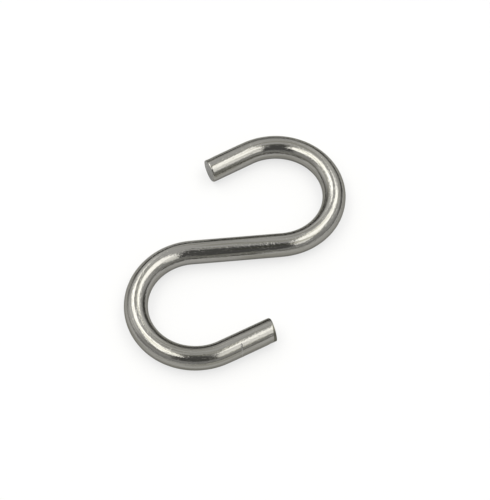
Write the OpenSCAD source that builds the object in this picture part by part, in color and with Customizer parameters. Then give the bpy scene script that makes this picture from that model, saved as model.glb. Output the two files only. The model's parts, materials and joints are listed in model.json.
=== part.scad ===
// S hook bent from one length of round wire, cropped at both ends and deburred.
// It lies on its side: the underside of the wire is at z = 0.
// The centres of the two bowls lie along Y, and the origin is under the middle of the hook's box.
// The two ends are cropped and bent by hand feed, so they are close but not equal.

/* [Wire] */
// Diameter of the round wire
wire_d = 5; // [3:0.1:8]
// How much thinner cold bending leaves the wire around the bowls
bend_thinning = 0.02; // [0.01:0.01:0.1]
// Radius that the crop and the deburring leave on the rim of each end
rim_r = 0.5; // [0.1:0.05:1]

/* [Shank and bowls] */
// Straight length between the two bowls
shank_len = 19.1; // [6:0.1:40]
// Radius on the inside of each bowl
bowl_inner_r = 9.85; // [6:0.05:16]

/* [Upper end] */
// Angle that the wire turns through around the upper bowl
upper_wrap = 204; // [180:0.5:220]
// Straight length from the upper bowl to the longer side of its cropped face
upper_tail = 9.7; // [3:0.1:16]
// Angle that the upper cropped face is off square
upper_skew = 4.5; // [1:0.5:12]

/* [Lower end] */
// Angle that the wire turns through around the lower bowl
lower_wrap = 202; // [180:0.5:220]
// Straight length from the lower bowl to the longer side of its cropped face
lower_tail = 11.6; // [3:0.1:16]
// Angle that the lower cropped face is off square
lower_skew = 8.5; // [1:0.5:12]

/* [Hidden] */

wire_r = wire_d / 2;
bent_wire_r = wire_r - bend_thinning / 2;
// Radius of the bend along the middle of the wire
bend_r = bowl_inner_r + bent_wire_r;
// Length of each bend's end that is buried in the straight wire that it joins
buried = 0.1;
buried_angle = atan(buried / bend_r);
// Turn about Z that takes a shank along X to bowls centred on Y
shank_turn = 90 - atan2(bend_r, shank_len / 2);
// Side of the block that crops an end: any size well over the wire's
crop_block = 3 * wire_d;
steel = [0.66, 0.65, 0.62];
$fn = 96;

// How far the hook stands out from the middle of its shank along X, on the side of one tail,
// where the shorter side of the cropped face or the bowl reaches furthest
function reach(wrap, tail_len, skew) =
    let (
        side_len = tail_len - wire_d * tan(skew),
        tip_x = shank_len / 2 + bend_r * sin(wrap) + side_len * cos(wrap),
        tip_y = bend_r * (1 - cos(wrap)) + side_len * sin(wrap),
        half_width = wire_r * abs(sin(shank_turn + wrap))
    )
    max(bend_r + wire_r, half_width + tip_y * sin(shank_turn) - tip_x * cos(shank_turn));

// Shift along X that puts the middle of the hook's box over the origin
upper_reach = reach(upper_wrap, upper_tail, upper_skew);
lower_reach = reach(lower_wrap, lower_tail, lower_skew);
box_shift = (upper_reach - lower_reach) / 2;

// Straight wire between the bowls, centred on the origin and lying along X
module shank() {
    rotate([0, 90, 0])
        cylinder(r = wire_r, h = shank_len, center = true);
}

// Bend that leaves the origin along X and turns towards +Y
module bowl(wrap) {
    translate([0, bend_r, 0])
        rotate([0, 0, -90 - buried_angle])
            rotate_extrude(angle = wrap + 2 * buried_angle)
                translate([bend_r, 0])
                    circle(r = bent_wire_r);
}

// Straight end that runs from the origin along X, before its face is cropped off square
module square_tail(length) {
    rotate([0, 90, 0])
        rotate_extrude() {
            square([wire_r, length - rim_r]);
            square([wire_r - rim_r, length]);
            translate([wire_r - rim_r, length - rim_r])
                circle(r = rim_r);
        }
}

// Straight end whose cropped face leans back from its longer side, at +Y
module tail(length, skew) {
    difference() {
        square_tail(length);
        translate([length, wire_r, 0])
            rotate([0, 0, -skew])
                translate([crop_block / 2, -wire_r, 0])
                    cube(crop_block, center = true);
    }
}

// Half of the hook's wire, on the +X side of a shank along X
module bowl_with_tail(wrap, tail_len, skew) {
    translate([shank_len / 2, 0, 0]) {
        bowl(wrap);
        translate([0, bend_r, 0])
            rotate([0, 0, wrap])
                translate([0, -bend_r, 0])
                    tail(tail_len, skew);
    }
}

module hook() {
    color(steel)
        translate([box_shift, 0, wire_r])
            rotate([0, 0, shank_turn]) {
                shank();
                bowl_with_tail(upper_wrap, upper_tail, upper_skew);
                rotate([0, 0, 180])
                    bowl_with_tail(lower_wrap, lower_tail, lower_skew);
            }
}

hook();
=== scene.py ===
import json
import math

import bpy
import numpy as np
from mathutils import Matrix, Vector, noise


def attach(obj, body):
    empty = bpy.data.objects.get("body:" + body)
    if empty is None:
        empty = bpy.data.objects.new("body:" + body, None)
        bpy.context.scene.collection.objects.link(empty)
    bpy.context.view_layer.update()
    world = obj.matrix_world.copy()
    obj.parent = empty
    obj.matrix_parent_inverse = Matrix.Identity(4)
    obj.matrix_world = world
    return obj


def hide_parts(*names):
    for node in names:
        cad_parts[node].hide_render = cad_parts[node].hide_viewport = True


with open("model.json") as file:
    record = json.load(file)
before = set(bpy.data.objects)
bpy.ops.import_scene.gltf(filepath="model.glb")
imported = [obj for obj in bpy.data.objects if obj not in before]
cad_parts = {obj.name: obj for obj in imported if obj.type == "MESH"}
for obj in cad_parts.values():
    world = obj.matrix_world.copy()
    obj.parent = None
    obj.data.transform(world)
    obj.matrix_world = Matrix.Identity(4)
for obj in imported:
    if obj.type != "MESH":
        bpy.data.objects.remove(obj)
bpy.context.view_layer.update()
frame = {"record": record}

MM = 0.001
UP = Vector((0, 0, 1))

# The hook's sizes, from its mounts and the few that no mount states
MOUNTS = {mount["name"]: mount for mount in frame["record"]["mounts"]}
WIRE_R = MOUNTS["upper_tip"]["dims"]["r_mm"] * MM
RIM_R = 0.5 * MM
BOWL_INNER_R = 9.85 * MM
BEND_THINNING = 0.01 * MM
BEND_R = BOWL_INNER_R + WIRE_R - BEND_THINNING
SHANK_LEN = 19.1 * MM
UPPER_SKEW = math.radians(4.5)
LOWER_SKEW = math.radians(8.5)

# How finely the wire is built, and how near counts as the same
WIRE_SIDES = 96
RING_STEP = 0.25 * MM
END_STEP = 0.8 * MM
MARK_ZONE = 1.4 * MM
MARK_STEP = 0.07 * MM
RIM_SEGMENTS = 8
EDGE_SEGMENTS = 2
WELD = 0.001 * MM
SLIVER = 0.0015 * MM
CUT_WELD = 0.0001 * MM
RIM_REACH = 0.01 * MM
PARALLEL = 0.9999

# The marks of making: how deep the wire is pressed in, never proud of its round.
# Turns are angles round the wire, from its left over its top.
BEND_RAMP = 2.5 * MM
OUTSIDE_FLAT = 0.045 * MM
UNEVEN = 0.022 * MM
UNEVEN_ON_STRAIGHTS = 0.35
UNEVEN_AROUND = 2.2 * MM
UNEVEN_ALONG = 4.5 * MM

# The crops: the sharp edge that is broken, and the neck that the shear drew in behind it
EDGE_BREAK = 0.04 * MM
NECK = 0.07 * MM
NECK_LEN = 1.1 * MM

# The bite of the bending tool's jaw on the lower tail
CLAMP_MARK = 0.035 * MM
CLAMP_MARK_FROM_TIP = 8.4 * MM
CLAMP_MARK_HALF = 0.21 * MM
CLAMP_MARK_SLANT = 0.44 * MM
CLAMP_MARK_MIDDLE = 2.55
CLAMP_MARK_STARTS = (1.85, 2.1)
CLAMP_MARK_STOPS = (3.0, 3.14)

# The torn lip of the lower tail: its start from the tip, how far that slants, its depth and its edge. The
# same stretch also gets a painted shade in its colour.
TORN_LIP = 0.61 * MM
TORN_LIP_SLANT = 0.31
TORN_LIP_DEEP = 0.02 * MM
TORN_LIP_EDGE = (-0.07 * MM, 0.05 * MM)

# The shank's top, rubbed into two narrow flats side by side and scuffed along them
SHANK_FLAT = 0.062 * MM
SHANK_FLAT_TURNED = math.radians(54)
SHANK_FACET = 0.038 * MM
SHANK_FACET_TURNED = math.radians(75)
FLAT_REACH = 0.5
RUB_LEAST = 0.75
RUB_VARIES = 0.5
RUB_AROUND = 1.6 * MM
RUB_ALONG = 3.5 * MM
SCUFFED_TURNED = math.radians(63)
SCUFFED_SPREAD = (0.15, 0.45)
SHANK_FADE_OUT = 1 * MM
SHANK_FADE_IN = 2 * MM

# The least space between the strips of the wire's flat map
MAP_GAP = 0.3 * MM


class Tip:
    """A straight tail: where it leaves its bowl, which way it points, and its cropped face."""

    def __init__(self, mount, seat, skew):
        wall = mount["dims"]["length_mm"] * MM
        self.axis = Vector(mount["axis"])
        self.start = Vector(mount["pos_m"]) - self.axis * wall / 2
        self.length = wall + RIM_R
        self.end = self.start + self.axis * self.length
        self.bowl = Vector(seat["pos_m"]) + Vector(seat["axis"]) * BOWL_INNER_R
        long_side = Vector((-self.axis.y, self.axis.x, 0))
        self.crop_at = self.end + long_side * WIRE_R
        self.crop_normal = Matrix.Rotation(-skew, 3, "Z") @ self.axis


UPPER = Tip(MOUNTS["upper_tip"], MOUNTS["upper_seat"], UPPER_SKEW)
LOWER = Tip(MOUNTS["lower_tip"], MOUNTS["lower_seat"], LOWER_SKEW)
# Which way the shank points, from the lower bowl to the upper one
BOWL_TO_BOWL = (UPPER.bowl - LOWER.bowl).normalized()
SHANK = Matrix.Rotation(-math.atan2(BEND_R, SHANK_LEN / 2), 3, "Z") @ BOWL_TO_BOWL


def turn(from_line, to_line):
    """Angle from one line to the other, counter-clockwise seen from above, from 0 to 2 pi."""
    return math.atan2(from_line.cross(to_line).z, from_line.dot(to_line)) % (2 * math.pi)


UPPER_WRAP = turn(SHANK, UPPER.axis)
LOWER_WRAP = turn(-SHANK, LOWER.axis)
# How far along the wire the shank starts and ends, from the upper tip, and how long the wire is
SHANK_START = UPPER.length + BEND_R * UPPER_WRAP
SHANK_STOP = SHANK_START + SHANK_LEN
WIRE_LEN = SHANK_STOP + BEND_R * LOWER_WRAP + LOWER.length
# How far each crop's sharp corner lies behind its rounded one
UPPER_CORNER = 0.39 * MM
LOWER_CORNER = 0.75 * MM


# ---------------------------------------------------------------- modelling by hand
def deselect():
    bpy.ops.object.select_all(action="DESELECT")


def edit(piece):
    deselect()
    bpy.context.view_layer.objects.active = piece
    piece.select_set(True)
    bpy.ops.object.mode_set(mode="EDIT")


def leave_edit():
    bpy.ops.object.mode_set(mode="OBJECT")


def pick(piece, kind, test):
    """Selects the vertices, edges or faces that pass the test, and nothing else."""
    bpy.ops.mesh.select_mode(type=kind)
    bpy.ops.mesh.select_all(action="DESELECT")
    leave_edit()
    mesh = piece.data
    for item in {"VERT": mesh.vertices, "EDGE": mesh.edges, "FACE": mesh.polygons}[kind]:
        item.select = test(item)
    bpy.ops.object.mode_set(mode="EDIT")


def straight(direction, length, step_length=RING_STEP):
    """Extrudes the loop in hand along a line, in short steps."""
    count = max(1, round(length / step_length))
    for _ in range(count):
        bpy.ops.mesh.extrude_region_move(TRANSFORM_OT_translate={"value": direction * (length / count)})


def bend(centre, angle):
    """Spins the loop in hand about a bowl's centre. The operator turns clockwise for a positive angle."""
    count = round(abs(angle) * BEND_R / RING_STEP)
    bpy.ops.mesh.spin(steps=count, angle=-angle, center=centre, axis=(0, 0, 1))


def near_end(tip, point, reach):
    """Whether a point is at a tip's end, or no further than a reach behind it."""
    offset = point - tip.end
    return offset.length < 2 * WIRE_R and offset.dot(tip.axis) > -reach


def crop_end(hook, tip):
    """Closes one end, rounds its rim, crops it off square and breaks the sharp edge."""
    pick(hook, "VERT", lambda v: near_end(tip, v.co, RIM_REACH))
    bpy.ops.mesh.edge_face_add()
    rim = {v.index for v in hook.data.vertices if near_end(tip, v.co, RIM_REACH)}
    pick(hook, "EDGE", lambda e: e.vertices[0] in rim and e.vertices[1] in rim)
    bpy.ops.mesh.bevel(offset=RIM_R, segments=RIM_SEGMENTS, affect="EDGES")
    pick(hook, "VERT", lambda v: near_end(tip, v.co, 2 * END_STEP))
    bpy.ops.mesh.bisect(plane_co=tip.crop_at, plane_no=tip.crop_normal, use_fill=True,
                        clear_outer=True, threshold=CUT_WELD)
    pick(hook, "FACE", on_crop)
    bpy.ops.mesh.region_to_loop()
    bpy.ops.mesh.bevel(offset=EDGE_BREAK, segments=EDGE_SEGMENTS, affect="EDGES", clamp_overlap=True)


def on_crop(face):
    """Whether a face is one of the two cropped ones."""
    for tip in (UPPER, LOWER):
        if (face.center - tip.end).length < WIRE_R and face.normal.dot(tip.crop_normal) > PARALLEL:
            return True
    return False


def make_hook():
    """One wire, from the upper tip around its bowl, down the shank, around the lower bowl and out."""
    deselect()
    yaw = math.atan2(UPPER.axis.y, UPPER.axis.x)
    bpy.ops.mesh.primitive_circle_add(vertices=WIRE_SIDES, radius=WIRE_R, fill_type="NOTHING",
                                      calc_uvs=False, location=UPPER.end,
                                      rotation=(0, math.pi / 2, yaw))
    hook = bpy.context.active_object
    hook.name = "bent_wire"
    bpy.ops.object.transform_apply(location=True, rotation=True, scale=True)
    edit(hook)
    bpy.ops.mesh.select_all(action="SELECT")
    straight(-UPPER.axis, END_STEP, END_STEP)
    straight(-UPPER.axis, UPPER.length - END_STEP)
    bend(UPPER.bowl, -UPPER_WRAP)
    straight(-SHANK, SHANK_LEN)
    bend(LOWER.bowl, LOWER_WRAP)
    beyond_mark = CLAMP_MARK_FROM_TIP - MARK_ZONE / 2
    straight(LOWER.axis, LOWER.length - beyond_mark - MARK_ZONE)
    straight(LOWER.axis, MARK_ZONE, MARK_STEP)
    straight(LOWER.axis, beyond_mark - END_STEP)
    straight(LOWER.axis, END_STEP, END_STEP)
    bpy.ops.mesh.select_all(action="SELECT")
    bpy.ops.mesh.remove_doubles(threshold=WELD)
    crop_end(hook, UPPER)
    crop_end(hook, LOWER)
    bpy.ops.mesh.select_all(action="SELECT")
    bpy.ops.mesh.remove_doubles(threshold=SLIVER)
    bpy.ops.mesh.normals_make_consistent(inside=False)
    leave_edit()
    return hook


# ---------------------------------------------------------------- the place of each point on the wire
BEFORE_BEND = 0.1


def on_straight(points, start, line, length):
    """How far along a straight and to its left each point is, the way left, and how far past its ends."""
    rel = points - np.array(start)
    left_way = np.tile((-line.y, line.x, 0), (len(points), 1))
    along = rel @ np.array(line)
    left = (rel * left_way).sum(axis=1)
    return along, left, left_way, np.maximum(0, np.maximum(-along, along - length))


def on_bend(points, centre, start, angle):
    """The same four for a bend, counted along the middle of its wire."""
    rel = points - np.array(centre)
    first = Vector(start) - Vector(centre)
    turned = np.arctan2(rel[:, 1], rel[:, 0]) - math.atan2(first.y, first.x)
    way = math.copysign(1, angle)
    # Points just before the bend's start count as a little less than nothing, not as a full turn
    turned = (turned * way + BEFORE_BEND) % (2 * math.pi) - BEFORE_BEND
    along = turned * BEND_R
    reach = np.hypot(rel[:, 0], rel[:, 1])
    left = way * (BEND_R - reach)
    left_way = -way * rel * (1, 1, 0) / reach[:, None]
    return along, left, left_way, np.maximum(0, np.maximum(-along, along - abs(angle) * BEND_R))


def place_on_wire(points):
    """Where each point was on the wire before bending, and the way to the wire's left there.

    A place is (left, above, along): from the wire's middle, and from the upper tip on.
    """
    shank_top = (UPPER.bowl + LOWER.bowl) / 2 + SHANK * SHANK_LEN / 2
    shank_top.z = WIRE_R
    shank_foot = shank_top - SHANK * SHANK_LEN
    stretches = [
        (on_straight(points, UPPER.end, -UPPER.axis, UPPER.length), UPPER.length),
        (on_bend(points, UPPER.bowl, UPPER.start, -UPPER_WRAP), BEND_R * UPPER_WRAP),
        (on_straight(points, shank_top, -SHANK, SHANK_LEN), SHANK_LEN),
        (on_bend(points, LOWER.bowl, shank_foot, LOWER_WRAP), BEND_R * LOWER_WRAP),
        (on_straight(points, LOWER.start, LOWER.axis, LOWER.length), LOWER.length),
    ]
    best = np.full(len(points), np.inf)
    place = np.zeros((len(points), 3))
    place[:, 1] = points[:, 2] - WIRE_R
    to_left = np.zeros((len(points), 3))
    passed = 0
    for (along, left, left_way, beyond), length in stretches:
        off = np.hypot(left, beyond)
        closer = off < best
        best[closer] = off[closer]
        place[closer, 0] = left[closer]
        place[closer, 2] = passed + along[closer]
        to_left[closer] = left_way[closer]
        passed += length
    return place, to_left


def smooth_step(value, low, high):
    """0 below low, 1 above high, and a smooth rise between."""
    t = np.clip((value - low) / (high - low), 0, 1)
    return t * t * (3 - 2 * t)


def ridge(value, middle, half_width):
    """1 at the middle, falling smoothly to 0 at half_width on either side."""
    return 1 - smooth_step(np.abs(value - middle), 0, half_width)


def waves(place, size_around, size_along, offset):
    """Smooth unevenness between 0 and 1, longer along the wire than around it."""
    scaled = place / np.array((size_around, size_around, size_along))
    return np.array([noise.noise(Vector(at) + Vector((offset, 0, 0))) * 0.5 + 0.5 for at in scaled])


def flat_depth(turned, middle, deep):
    """How deep a flat rubbed along the wire lies under its round, at each angle round the wire."""
    off_middle = np.clip(np.abs(turned - middle), 0, FLAT_REACH)
    return np.maximum(0, WIRE_R - (WIRE_R - deep) / np.cos(off_middle))


def on_bowls(along):
    """How much a point belongs to the upper bend and to the lower one, each fading out at its ends."""
    lower_tail = WIRE_LEN - LOWER.length
    upper = smooth_step(along, UPPER.length - BEND_RAMP, UPPER.length + BEND_RAMP)
    upper *= 1 - smooth_step(along, SHANK_START - BEND_RAMP, SHANK_START + BEND_RAMP)
    lower = smooth_step(along, SHANK_STOP - BEND_RAMP, SHANK_STOP + BEND_RAMP)
    lower *= 1 - smooth_step(along, lower_tail - BEND_RAMP, lower_tail + BEND_RAMP)
    return upper, lower


def pressed_in(place):
    """How deep each point of the wire lies under a true 5 mm round."""
    left, above, along = place.T
    turned = np.arctan2(above, left)
    on_left = np.maximum(0, np.cos(turned))
    on_right = np.maximum(0, -np.cos(turned))
    upper_bend, lower_bend = on_bowls(along)
    # The upper bowl's outside is on the wire's left, the lower bowl's on its right
    depth = OUTSIDE_FLAT * (upper_bend * on_left ** 2 + lower_bend * on_right ** 2)
    unevenness = UNEVEN_ON_STRAIGHTS + (1 - UNEVEN_ON_STRAIGHTS) * (upper_bend + lower_bend)
    depth += UNEVEN * unevenness * waves(place, UNEVEN_AROUND, UNEVEN_ALONG, offset=3.1)
    # The shear drew the wire in behind each crop's sharp corner
    upper_neck = ridge(along, UPPER_CORNER + NECK_LEN, NECK_LEN) * on_left ** 3
    lower_neck = ridge(along, WIRE_LEN - LOWER_CORNER - NECK_LEN, NECK_LEN) * on_right ** 3
    depth += NECK * (upper_neck + lower_neck)
    depth += CLAMP_MARK * clamp_mark(place)
    before_lip = WIRE_LEN - TORN_LIP - along + left * TORN_LIP_SLANT
    depth += TORN_LIP_DEEP * (1 - smooth_step(before_lip, *TORN_LIP_EDGE))
    # The shank's top was rubbed nearly flat on the bending table
    rubbed = RUB_LEAST + RUB_VARIES * waves(place, RUB_AROUND, RUB_ALONG, offset=9.7)
    lower_flat = flat_depth(turned, SHANK_FLAT_TURNED, SHANK_FLAT * rubbed)
    upper_flat = flat_depth(turned, SHANK_FACET_TURNED, SHANK_FACET * rubbed)
    depth += np.maximum(lower_flat, upper_flat) * on_shank(along)
    return depth


def on_shank(along):
    """1 on the straight shank, fading to 0 just past its ends."""
    reached = smooth_step(along, SHANK_START - SHANK_FADE_OUT, SHANK_START + SHANK_FADE_IN)
    return reached * (1 - smooth_step(along, SHANK_STOP - SHANK_FADE_IN, SHANK_STOP + SHANK_FADE_OUT))


def rubbed_zone(place):
    """Where the shank's top is scuffed: its two flats and a little around them."""
    left, above, along = place.T
    off_middle = np.abs(np.arctan2(above, left) - SCUFFED_TURNED)
    return (1 - smooth_step(off_middle, *SCUFFED_SPREAD)) * on_shank(along)


def clamp_mark(place):
    """Where a jaw of the bending tool bit the lower tail's outer side: 1 in the bite, 0 off it."""
    left, above, along = place.T
    turned = np.arctan2(above, left)
    slant = CLAMP_MARK_SLANT * (turned - CLAMP_MARK_MIDDLE)
    bite = ridge(along, WIRE_LEN - CLAMP_MARK_FROM_TIP - slant, CLAMP_MARK_HALF)
    return bite * smooth_step(turned, *CLAMP_MARK_STARTS) * (1 - smooth_step(turned, *CLAMP_MARK_STOPS))


def keep_on_points(mesh, name, values):
    """Stores a number or a place for each point of the mesh, for the materials to read."""
    kind, field = ("FLOAT_VECTOR", "vector") if values.ndim == 2 else ("FLOAT", "value")
    attribute = mesh.attributes.new(name, kind, "POINT")
    attribute.data.foreach_set(field, values.astype(np.float32).ravel())


def press_wire(hook):
    """Presses the marks into the wire's round, and keeps what the materials read about each point."""
    points = np.array([v.co for v in hook.data.vertices])
    place, left_way = place_on_wire(points)
    radius = np.hypot(place[:, 0], place[:, 1])
    # The cropped faces stay as they were cut, apart from their edges
    depth = pressed_in(place) * smooth_step(radius, 0.6 * WIRE_R, 0.9 * WIRE_R)
    outward = left_way * place[:, :1] + np.array(UP) * place[:, 1:2]
    inward = -outward / np.maximum(radius, 0.1 * MM)[:, None]
    points += inward * depth[:, None]
    hook.data.vertices.foreach_set("co", points.astype(np.float32).ravel())
    keep_on_points(hook.data, "wire_place", place)
    keep_on_points(hook.data, "clamp_mark", clamp_mark(place))
    keep_on_points(hook.data, "rubbed", rubbed_zone(place))
    hook.data.update()
    return place


def slit_angle(place):
    """How far round the wire from its underside, in radians."""
    return (np.arctan2(place[:, 1], place[:, 0]) + math.pi / 2) % (2 * math.pi)


def lay_out_map(hook, place):
    """The wire's flat map, slit along its underside: three lengths side by side, the crops above."""
    mesh = hook.data
    vertex = np.empty(len(mesh.loops), np.int32)
    mesh.loops.foreach_get("vertex_index", vertex)
    sides = np.array([face.loop_total for face in mesh.polygons])
    face = np.repeat(np.arange(len(sides)), sides)
    cropped = np.array([on_crop(face) for face in mesh.polygons])[face]
    corner = place[vertex]
    middle = (np.add.reduceat(corner, np.cumsum(sides) - sides) / sides[:, None])[face]
    # A face on the slit stays whole, on the side that its middle is on
    angle = slit_angle(middle)
    angle += (slit_angle(corner) - angle + math.pi) % (2 * math.pi) - math.pi
    lower_half = corner[:, 2] > WIRE_LEN / 2
    over_rim = np.where(lower_half, 1, -1) * (WIRE_R - np.hypot(corner[:, 0], corner[:, 1]))
    third = np.clip(middle[:, 2] // (WIRE_LEN / 3), 0, 2)
    across = MAP_GAP + third * (2 * math.pi * WIRE_R + MAP_GAP) + angle * WIRE_R
    up = MAP_GAP + RIM_R + corner[:, 2] + over_rim - third * WIRE_LEN / 3
    above_strips = 2 * MAP_GAP + 2 * RIM_R + WIRE_LEN / 3
    crop_middle = WIRE_R + MAP_GAP + lower_half * (2 * WIRE_R + MAP_GAP)
    across = np.where(cropped, corner[:, 0] + crop_middle, across)
    up = np.where(cropped, corner[:, 1] + WIRE_R + above_strips, up)
    layout = np.stack((across, up), axis=1) / (above_strips + 2 * WIRE_R + MAP_GAP)
    hook.data.uv_layers.new(name="OFBake").uv.foreach_set("vector", layout.astype(np.float32).ravel())


# ---------------------------------------------------------------- materials
STREAKED = (0.228, 0.223, 0.197, 1)
CLEAN = (0.298, 0.293, 0.279, 1)
BARE = (0.36, 0.355, 0.345, 1)
# Painted shade: a dark base colour on the lower tail's last stretch, standing in for the dark reflection of
# its rolled-over end
PAINTED_END_SHADE = (0.12, 0.118, 0.098, 1)
EDGE_TINT = (0.5, 0.5, 0.48, 1)
CROP_DARK = (0.17, 0.168, 0.16, 1)
CROP_LIGHT = (0.24, 0.237, 0.228, 1)
# The sockets of a colour Mix node
MIX_FACTOR, MIX_FIRST, MIX_SECOND, MIX_RESULT = 0, 6, 7, 2


def new_material(name):
    material = bpy.data.materials.new(name)
    material.use_nodes = True
    return material, material.node_tree


def add(tree, kind, inputs=None, **settings):
    """A new node; inputs are numbers or colours, or the sockets that feed them."""
    node = tree.nodes.new(kind)
    for key, value in settings.items():
        setattr(node, key, value)
    for name, value in (inputs or {}).items():
        if isinstance(value, bpy.types.NodeSocket):
            tree.links.new(value, node.inputs[name])
        else:
            node.inputs[name].default_value = value
    return node


def math_node(tree, operation, first, second=0.0):
    return add(tree, "ShaderNodeMath", {0: first, 1: second}, operation=operation).outputs[0]


def fade(tree, value, between, result):
    """A smooth change from one result to the other as the value passes between two limits."""
    limits = {"Value": value, "From Min": between[0], "From Max": between[1],
              "To Min": result[0], "To Max": result[1]}
    return add(tree, "ShaderNodeMapRange", limits, interpolation_type="SMOOTHSTEP").outputs["Result"]


def stretched_grain():
    """A node group: smooth noise by place on the wire, with a size around the wire and one along it."""
    group = bpy.data.node_groups.new("stretched_grain", "ShaderNodeTree")
    group.interface.new_socket("Place", in_out="INPUT", socket_type="NodeSocketVector")
    for name in ("Around", "Along", "Detail", "Shift"):
        group.interface.new_socket(name, in_out="INPUT", socket_type="NodeSocketFloat")
    group.interface.new_socket("Grain", in_out="OUTPUT", socket_type="NodeSocketFloat")
    given = add(group, "NodeGroupInput").outputs
    sizes = {"X": given["Around"], "Y": given["Around"], "Z": given["Along"]}
    size = add(group, "ShaderNodeCombineXYZ", sizes).outputs[0]
    scaled = add(group, "ShaderNodeVectorMath", {0: given["Place"], 1: size}, operation="DIVIDE").outputs[0]
    shifted = add(group, "ShaderNodeVectorMath", {0: scaled, 1: given["Shift"]}, operation="ADD").outputs[0]
    noise_inputs = {"Vector": shifted, "Scale": 1.0, "Detail": given["Detail"]}
    add(group, "NodeGroupOutput", {"Grain": add(group, "ShaderNodeTexNoise", noise_inputs).outputs[0]})
    return group


def grain(tree, group, place, around, along, detail, shift):
    """The stretched grain placed in a material: its size around the wire and along it, in metres."""
    node = tree.nodes.new("ShaderNodeGroup")
    node.node_tree = group
    tree.links.new(place, node.inputs["Place"])
    for name, value in (("Around", around), ("Along", along), ("Detail", detail), ("Shift", shift)):
        node.inputs[name].default_value = value
    return node.outputs["Grain"]


def blend(tree, factor, first, second):
    """A colour between two, by a factor. Each is a colour or the socket that feeds one."""
    colours = {MIX_FACTOR: factor, MIX_FIRST: first, MIX_SECOND: second}
    return add(tree, "ShaderNodeMix", colours, data_type="RGBA").outputs[MIX_RESULT]


def roughen(tree, shader, *heights):
    """Feeds the shader's normal with the sum of some heights in millimetres."""
    total = heights[0]
    for height in heights[1:]:
        total = math_node(tree, "ADD", total, height)
    bump = add(tree, "ShaderNodeBump", {"Height": total, "Distance": MM, "Strength": 1.0})
    tree.links.new(bump.outputs["Normal"], shader.inputs["Normal"])


def mark(tree, name):
    """The mask that press_wire kept on the mesh under this name."""
    return add(tree, "ShaderNodeAttribute", attribute_name=name).outputs["Fac"]


def steel_material(name):
    """A metal with its shader, and the place on the wire that its patterns follow."""
    material, tree = new_material(name)
    shader = tree.nodes["Principled BSDF"]
    shader.inputs["Metallic"].default_value = 1.0
    place = add(tree, "ShaderNodeAttribute", attribute_name="wire_place").outputs["Vector"]
    return material, tree, shader, place


def torn_lip_and_painted_shade(tree, place):
    """1 on the lower tail's last stretch, where the shear tore the round, wider towards its right. The
    material darkens the base colour there as painted shade, and roughens it.
    """
    sides = add(tree, "ShaderNodeSeparateXYZ", {"Vector": place})
    slant = math_node(tree, "MULTIPLY", sides.outputs["X"], TORN_LIP_SLANT)
    before_lip = math_node(tree, "SUBTRACT", WIRE_LEN - TORN_LIP, sides.outputs["Z"])
    before_lip = math_node(tree, "ADD", before_lip, slant)
    return fade(tree, before_lip, TORN_LIP_EDGE, (1.0, 0.0))


def drawn_steel(grains):
    """Bright drawn stainless: fine lines along the wire, small scuffs, an uneven skin, faint streaks."""
    material, tree, shader, place = steel_material("drawn_steel")
    lines = grain(tree, grains, place, around=0.42 * MM, along=14 * MM, detail=2.0, shift=0.0)
    scuffs = grain(tree, grains, place, around=0.26 * MM, along=1.0 * MM, detail=1.0, shift=11.9)
    skin = grain(tree, grains, place, around=0.40 * MM, along=0.52 * MM, detail=2.0, shift=3.7)
    streaks = grain(tree, grains, place, around=0.36 * MM, along=18 * MM, detail=2.0, shift=7.3)
    torn = torn_lip_and_painted_shade(tree, place)
    bitten = mark(tree, "clamp_mark")
    lines_high = math_node(tree, "MULTIPLY", lines, 0.022)
    skin_deep = fade(tree, mark(tree, "rubbed"), (0.0, 1.0), (0.016, 0.062))
    skin_high = math_node(tree, "MULTIPLY", skin, skin_deep)
    scuffs_deep = fade(tree, scuffs, (0.58, 0.72), (0.0, -0.010))
    roughen(tree, shader, lines_high, skin_high, scuffs_deep)
    colour = blend(tree, fade(tree, streaks, (0.34, 0.56), (0.0, 1.0)), STREAKED, CLEAN)
    colour = blend(tree, bitten, colour, BARE)
    # Painted shade: the torn lip's mask blends the base colour towards a dark tone that stands in for a
    # dark reflection
    tree.links.new(blend(tree, torn, colour, PAINTED_END_SHADE), shader.inputs["Base Color"])
    rough = fade(tree, streaks, (0.3, 0.7), (0.15, 0.09))
    rough = math_node(tree, "ADD", rough, math_node(tree, "MULTIPLY", bitten, 0.35))
    rough = math_node(tree, "ADD", rough, math_node(tree, "MULTIPLY", torn, 0.25))
    tree.links.new(rough, shader.inputs["Roughness"])
    shader.inputs["Specular Tint"].default_value = EDGE_TINT
    return material


def sheared_steel(grains):
    """The cropped faces: duller and torn in fine steps across the way that the shear's blade went."""
    material, tree, shader, place = steel_material("sheared_steel")
    turned = add(tree, "ShaderNodeMapping", {"Vector": place, "Rotation": (0, math.pi / 2, 0)})
    across = turned.outputs["Vector"]
    tears = grain(tree, grains, across, around=0.12 * MM, along=1.2 * MM, detail=3.0, shift=1.7)
    torn = grain(tree, grains, place, around=0.35 * MM, along=0.35 * MM, detail=3.0, shift=8.2)
    tears_high = math_node(tree, "MULTIPLY", tears, 0.03)
    torn_high = math_node(tree, "MULTIPLY", torn, 0.05)
    roughen(tree, shader, tears_high, torn_high)
    colour = blend(tree, fade(tree, torn, (0.3, 0.7), (0.0, 1.0)), CROP_DARK, CROP_LIGHT)
    tree.links.new(colour, shader.inputs["Base Color"])
    tree.links.new(fade(tree, tears, (0.3, 0.7), (0.34, 0.5)), shader.inputs["Roughness"])
    return material


# ---------------------------------------------------------------- floor, light and camera
CAMERA_TURN = math.radians(32.24)
CAMERA_HEIGHT = math.radians(59.53)
CAMERA_DISTANCE = 339.6 * MM
LOOK_AT = Vector((0.39, 1.88, 0)) * MM
LENS_MM = 116.2
SENSOR_MM = 36
NEAREST_SEEN = 10 * MM
RIGHT = Vector((math.cos(CAMERA_TURN), math.sin(CAMERA_TURN), 0))
AWAY = Vector((-math.sin(CAMERA_TURN), math.cos(CAMERA_TURN), 0))

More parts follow.
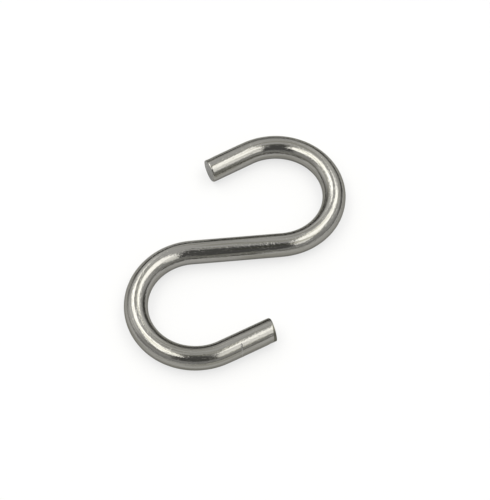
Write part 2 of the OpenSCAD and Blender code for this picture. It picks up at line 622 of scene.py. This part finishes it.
FLOOR_SIZE = 3.0
FLOOR_GREY = (0.75, 0.75, 0.75, 1)
WHITE = (1, 1, 1, 1)
WHITE_SEEN = 0.7
WHITE_MIRRORED = 0.25

LAMP_HEIGHT = 1.0
LAMP_COLOUR = (1, 0.99, 0.94)
ROOM_COLOUR = (1, 0.995, 0.97, 1)


def make_floor():
    """A pale matt table, whitened for the camera and in reflections, that keeps the hook's shadow."""
    deselect()
    bpy.ops.mesh.primitive_plane_add(size=FLOOR_SIZE, location=(0, 0, 0))
    floor = bpy.context.active_object
    floor.name = "floor"
    material, tree = new_material("white_table")
    shader = tree.nodes["Principled BSDF"]
    shader.inputs["Base Color"].default_value = FLOOR_GREY
    shader.inputs["Roughness"].default_value = 0.9
    shader.inputs["Specular IOR Level"].default_value = 0.0
    path = add(tree, "ShaderNodeLightPath").outputs
    mirrored = math_node(tree, "MAXIMUM", path["Is Glossy Ray"], path["Is Transmission Ray"])
    share = math_node(tree, "MULTIPLY", path["Is Camera Ray"], WHITE_SEEN)
    share = math_node(tree, "MAXIMUM", share, math_node(tree, "MULTIPLY", mirrored, WHITE_MIRRORED))
    white = add(tree, "ShaderNodeEmission", {"Color": WHITE, "Strength": 1.0}).outputs["Emission"]
    mix = add(tree, "ShaderNodeMixShader", {0: share, 1: shader.outputs["BSDF"], 2: white})
    tree.links.new(mix.outputs["Shader"], tree.nodes["Material Output"].inputs["Surface"])
    floor.data.materials.append(material)


def make_camera():
    data = bpy.data.cameras.new("camera")
    data.lens = LENS_MM
    data.sensor_width = SENSOR_MM
    data.clip_start = NEAREST_SEEN
    camera = bpy.data.objects.new("camera", data)
    bpy.context.scene.collection.objects.link(camera)
    line_of_sight = UP * math.sin(CAMERA_HEIGHT) - AWAY * math.cos(CAMERA_HEIGHT)
    camera.location = LOOK_AT + line_of_sight * CAMERA_DISTANCE
    camera.rotation_euler = (LOOK_AT - camera.location).to_track_quat("-Z", "Y").to_euler()
    bpy.context.scene.camera = camera


def soft_box(name, right, away, width, depth, turn_deg, radiance):
    """A flat lamp above the table: its middle, its size, its turn about Z and how bright its face is."""
    data = bpy.data.lights.new(name, "AREA")
    data.shape = "RECTANGLE"
    data.size = width
    data.size_y = depth
    data.energy = radiance * math.pi * width * depth
    data.color = LAMP_COLOUR
    lamp = bpy.data.objects.new(name, data)
    bpy.context.scene.collection.objects.link(lamp)
    lamp.location = RIGHT * right + AWAY * away + UP * LAMP_HEIGHT
    lamp.rotation_euler = (0, 0, CAMERA_TURN + math.radians(turn_deg))


def between_lamps(tree, right, away, up):
    """The share of the room's light that is missing overhead, in a gap that widens to the near side."""
    beside = math_node(tree, "ABSOLUTE", math_node(tree, "ADD", right, 0.04))
    beyond_gap = math_node(tree, "ADD", beside, math_node(tree, "MULTIPLY", away, 0.55))
    gap = fade(tree, beyond_gap, (-0.05, 0.11), (0.735, 0.0))
    return math_node(tree, "MULTIPLY", gap, fade(tree, up, (0.33, 0.5), (0.0, 1.0)))


def beside_lamps(tree, right, away, up):
    """A haze of light high on the far side, strongest a little to the left and right."""
    outward = math_node(tree, "ABSOLUTE", right)
    haze = fade(tree, outward, (0.05, 0.32), (0.0, 0.32))
    haze = math_node(tree, "MULTIPLY", haze, fade(tree, outward, (0.36, 0.75), (1.0, 0.25)))
    haze = math_node(tree, "MULTIPLY", haze, fade(tree, away, (0.1, 0.5), (0.0, 1.0)))
    return math_node(tree, "MULTIPLY", haze, fade(tree, up, (0.3, 0.55), (0.0, 1.0)))


def light_room():
    """A pale room, dimmer near the table's level and on the near side, with a glow on its far left."""
    world = bpy.data.worlds.new("studio")
    world.use_nodes = True
    tree = world.node_tree
    bpy.context.scene.world = world
    direction = add(tree, "ShaderNodeTexCoord").outputs["Generated"]
    turned = add(tree, "ShaderNodeMapping", {"Vector": direction, "Rotation": (0, 0, -CAMERA_TURN)})
    sides = add(tree, "ShaderNodeSeparateXYZ", {"Vector": turned.outputs["Vector"]})
    right, away, up = (sides.outputs[axis] for axis in "XYZ")
    ahead = fade(tree, away, (-0.35, 0.15), (0.66, 0.96))
    left_over = math_node(tree, "SUBTRACT", 1.0, between_lamps(tree, right, away, up))
    above = math_node(tree, "MULTIPLY", ahead, left_over)
    table_level = fade(tree, away, (-0.4, 0.6), (0.52, 0.1))
    height = fade(tree, up, (0.12, 0.52), (0.0, 1.0))
    rise = math_node(tree, "MULTIPLY", math_node(tree, "SUBTRACT", above, table_level), height)
    room = math_node(tree, "ADD", table_level, rise)
    glow = fade(tree, right, (-0.95, -0.55), (0.5, 0.0))
    glow = math_node(tree, "MULTIPLY", glow, fade(tree, away, (-0.25, 0.15), (0.0, 1.0)))
    strength = math_node(tree, "ADD", room, glow)
    strength = math_node(tree, "ADD", strength, beside_lamps(tree, right, away, up))
    background = tree.nodes["Background"]
    background.inputs["Color"].default_value = ROOM_COLOUR
    tree.links.new(strength, background.inputs["Strength"])


def light_stage():
    soft_box("left_soft_box", right=-0.51, away=0.165, width=0.55, depth=1.44, turn_deg=3, radiance=2.66)
    soft_box("right_soft_box", right=0.505, away=0.235, width=0.61, depth=1.08, turn_deg=5, radiance=2.3)
    soft_box("right_near_box", right=0.74, away=-0.76, width=0.54, depth=1.02, turn_deg=24, radiance=1.38)
    light_room()
    bpy.context.scene.view_settings.view_transform = "Standard"


def dress(hook):
    """Smooths the wire's shading and gives it two steels: sheared on the crops, drawn on the rest."""
    deselect()
    hook.select_set(True)
    bpy.context.view_layer.objects.active = hook
    bpy.ops.object.shade_smooth_by_angle(angle=math.radians(35))
    grains = stretched_grain()
    hook.data.materials.append(drawn_steel(grains))
    hook.data.materials.append(sheared_steel(grains))
    for face in hook.data.polygons:
        face.material_index = int(on_crop(face))


hook = make_hook()
lay_out_map(hook, press_wire(hook))
dress(hook)
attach(hook, "root")
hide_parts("hook")
make_floor()
light_stage()
make_camera()
